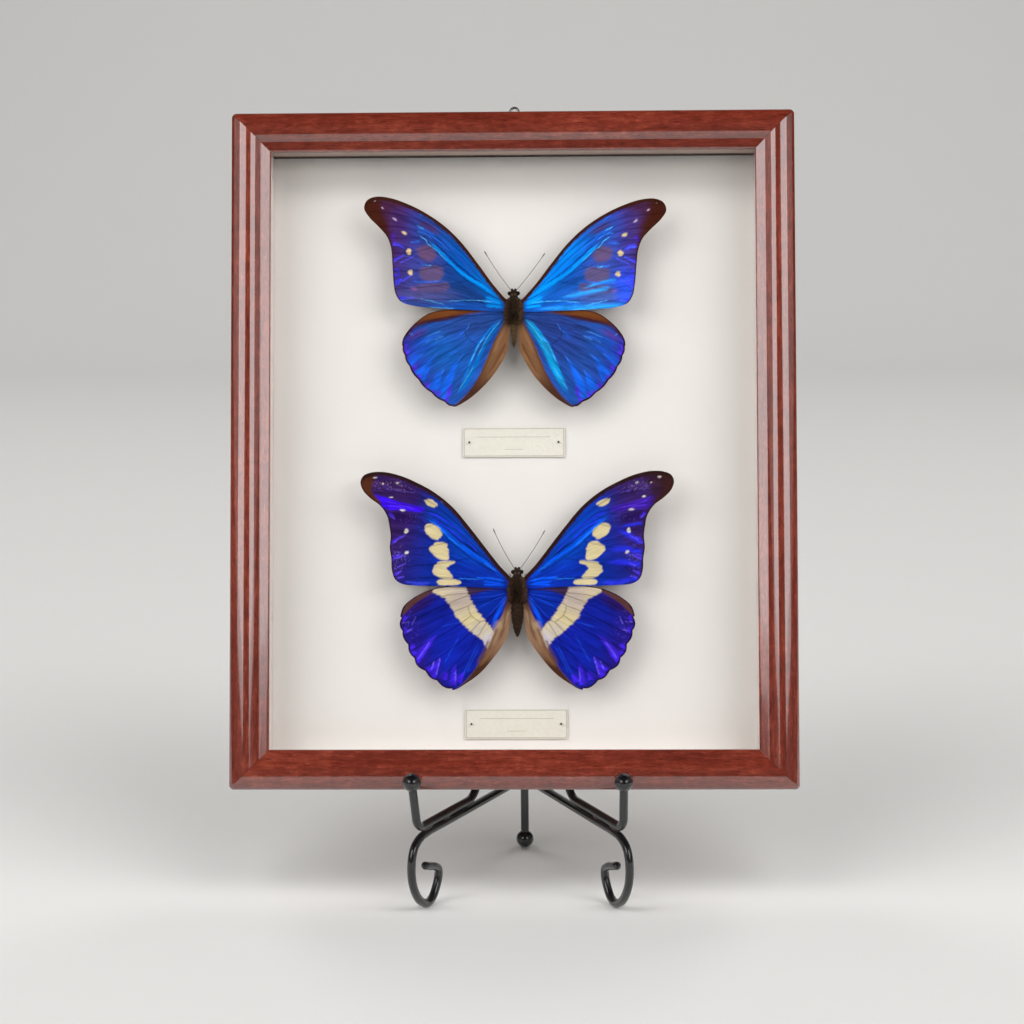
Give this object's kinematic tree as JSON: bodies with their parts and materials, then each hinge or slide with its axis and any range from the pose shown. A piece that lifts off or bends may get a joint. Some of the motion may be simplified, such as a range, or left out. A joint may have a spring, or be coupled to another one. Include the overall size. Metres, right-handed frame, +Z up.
{
  "type": "framed butterfly specimen",
  "caption": "Two blue butterflies pinned one above the other in a glazed mahogany shadow box that leans on a black wire easel with scroll feet.",
  "frame": {"origin": "bottom centre of the whole object's box, on the surface that the easel stands on", "axes": "+Z up, +Y towards the back, +X to the right as seen from the glass side"},
  "size_m": [0.25, 0.1332, 0.3436],
  "materials": {
    "mahogany": "gloss lacquer over red-brown mahogany",
    "glass": "clear polished pane",
    "cream_lining": "matte cream card lining",
    "cream_board": "matte cream paper over soft board",
    "hardboard": "raw brown hardboard",
    "steel": "plain zinc-plated steel",
    "upper_wings": "shimmering sky-blue scales with brown edges",
    "lower_wings": "shimmering violet-blue scales with a cream band",
    "body_fur": "dark brown fur",
    "pin_steel": "black enamelled pin",
    "label_card": "ivory card with a fine dark border",
    "black_wire": "gloss black enamel on steel wire"
  },
  "bodies": {
    "root": {"top_rail": "mahogany", "bottom_rail": "mahogany", "left_rail": "mahogany", "right_rail": "mahogany", "glass_pane": "glass", "top_lining": "cream_lining", "bottom_lining": "cream_lining", "left_lining": "cream_lining", "right_lining": "cream_lining", "backing_board": "cream_board", "back_panel": "hardboard", "back_tab_1": "steel", "back_tab_2": "steel", "back_tab_3": "steel", "back_tab_4": "steel", "back_tab_5": "steel", "back_tab_6": "steel", "back_tab_7": "steel", "back_tab_8": "steel", "hanger_ring": "steel", "hanger_plate": "steel", "hanger_screw_left": "steel", "hanger_screw_right": "steel", "upper_left_forewing": "upper_wings", "upper_right_forewing": "upper_wings", "upper_left_hindwing": "upper_wings", "upper_right_hindwing": "upper_wings", "lower_left_forewing": "lower_wings", "lower_right_forewing": "lower_wings", "lower_left_hindwing": "lower_wings", "lower_right_hindwing": "lower_wings", "upper_body": "body_fur", "lower_body": "body_fur", "upper_pin": "pin_steel", "lower_pin": "pin_steel", "upper_label_pin_left": "pin_steel", "upper_label_pin_right": "pin_steel", "lower_label_pin_left": "pin_steel", "lower_label_pin_right": "pin_steel", "upper_label": "label_card", "lower_label": "label_card", "left_arm": "black_wire", "right_arm": "black_wire", "left_foot": "black_wire", "right_foot": "black_wire", "rear_post": "black_wire", "left_ball": "black_wire", "right_ball": "black_wire", "rear_ball": "black_wire"}
  },
  "joints": []
}
